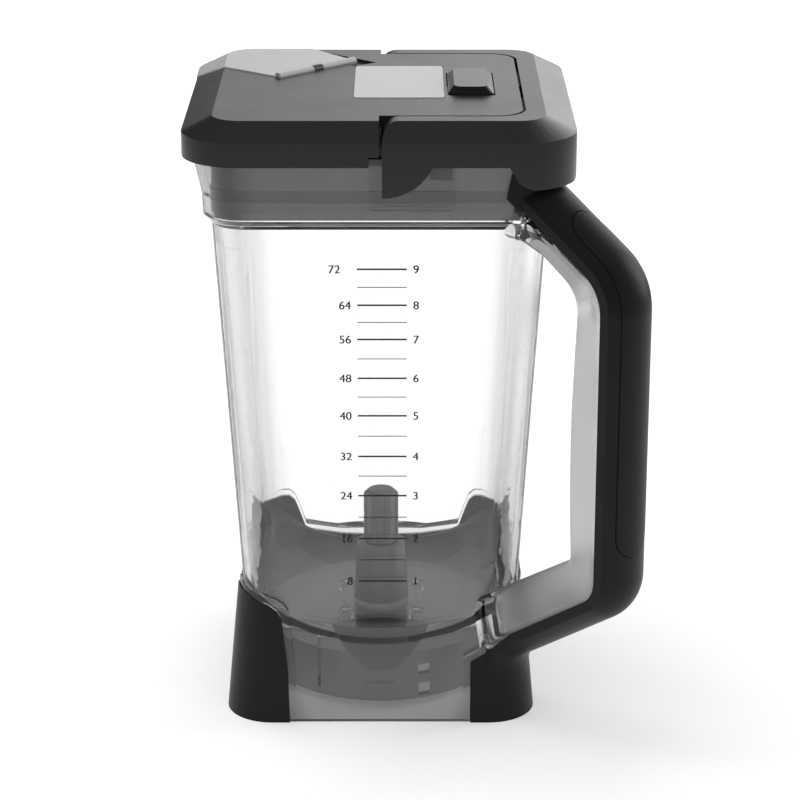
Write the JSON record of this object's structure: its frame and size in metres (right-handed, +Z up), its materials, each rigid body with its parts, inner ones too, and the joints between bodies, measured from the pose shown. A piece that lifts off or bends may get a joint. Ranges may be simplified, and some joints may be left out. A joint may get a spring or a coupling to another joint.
{
  "type": "blender jar",
  "caption": "Clear square blender jar with a corner handle, soft black feet, a black lid with fold-up handle, push button and pour flap, and a splined drive post.",
  "frame": {"origin": "on the jar's axis, in the plane that the jar stands on", "axes": "+Z up; +X to the right and +Y away from the viewer with the handle at the front right corner"},
  "size_m": [0.1878, 0.1878, 0.2656],
  "materials": {
    "clear_plastic": "clear tough plastic, smooth",
    "soft_black": "soft-touch black, satin",
    "black_plastic": "fine-grained black plastic",
    "gloss_black": "gloss black plastic",
    "grey_seal": "dark grey seal",
    "frosted_plastic": "milky see-through plastic",
    "pale_plate": "pale grey plate",
    "steel": "bright steel",
    "spring_steel": "spring wire",
    "bearing_bronze": "plain bearing metal"
  },
  "bodies": {
    "jar": {"jar_body": "clear_plastic", "handle_overmould": "soft_black", "grip_pad": "soft_black", "base_overmould": "soft_black", "locking_ring": "black_plastic", "bearing_housing": "black_plastic", "lid_cover": "black_plastic", "lid_liner": "black_plastic", "lid_gasket": "grey_seal", "label_plate": "pale_plate", "bail_pin_front": "steel", "bail_pin_back": "steel", "button_spring_front": "spring_steel", "button_spring_back": "spring_steel", "flap_pin": "steel", "upper_bearing": "bearing_bronze", "lower_bearing": "bearing_bronze", "shaft_seal": "grey_seal", "ring_screw_1": "steel", "lid_screw_1": "steel", "ring_screw_2": "steel", "lid_screw_2": "steel", "ring_screw_3": "steel", "lid_screw_3": "steel", "ring_screw_4": "steel", "lid_screw_4": "steel"},
    "bail": {"bail": "black_plastic"},
    "flap": {"spout_flap": "frosted_plastic", "flap_seal": "grey_seal"},
    "button": {"release_button": "gloss_black"},
    "latch": {"latch_slide": "black_plastic"},
    "spindle": {"drive_post": "black_plastic", "drive_shaft": "steel", "bottom_coupling": "black_plastic", "shaft_clip": "spring_steel"}
  },
  "joints": [
    {"name": "bail_hinge", "type": "hinge", "parent": "jar", "child": "bail", "pos_m": [0.0075, 0, 0.2564], "axis": [0, -1, 0], "range_deg": [0, 90]},
    {"name": "flap_hinge", "type": "hinge", "parent": "jar", "child": "flap", "pos_m": [-0.02729, 0.02729, 0.2624], "axis": [0.7071, 0.7071, 0], "range_deg": [0, 100]},
    {"name": "button_press", "type": "slide", "parent": "jar", "child": "button", "axis": [0, 0, -1], "range_m": [0, 0.002], "stiffness_N_per_m": 600, "springref_m": -0.0015, "deforming": ["button_spring_front", "button_spring_back"]},
    {"name": "latch_draw", "type": "slide", "parent": "jar", "child": "latch", "axis": [-1, 0, 0], "range_m": [0, 0.002]},
    {"name": "spindle_turn", "type": "hinge", "parent": "jar", "child": "spindle", "pos_m": [0, 0, 0.04], "axis": [0, 0, 1], "continuous": true}
  ],
  "couplings": [
    {"joint": "latch_draw", "follows": "button_press", "ratio": 1}
  ]
}
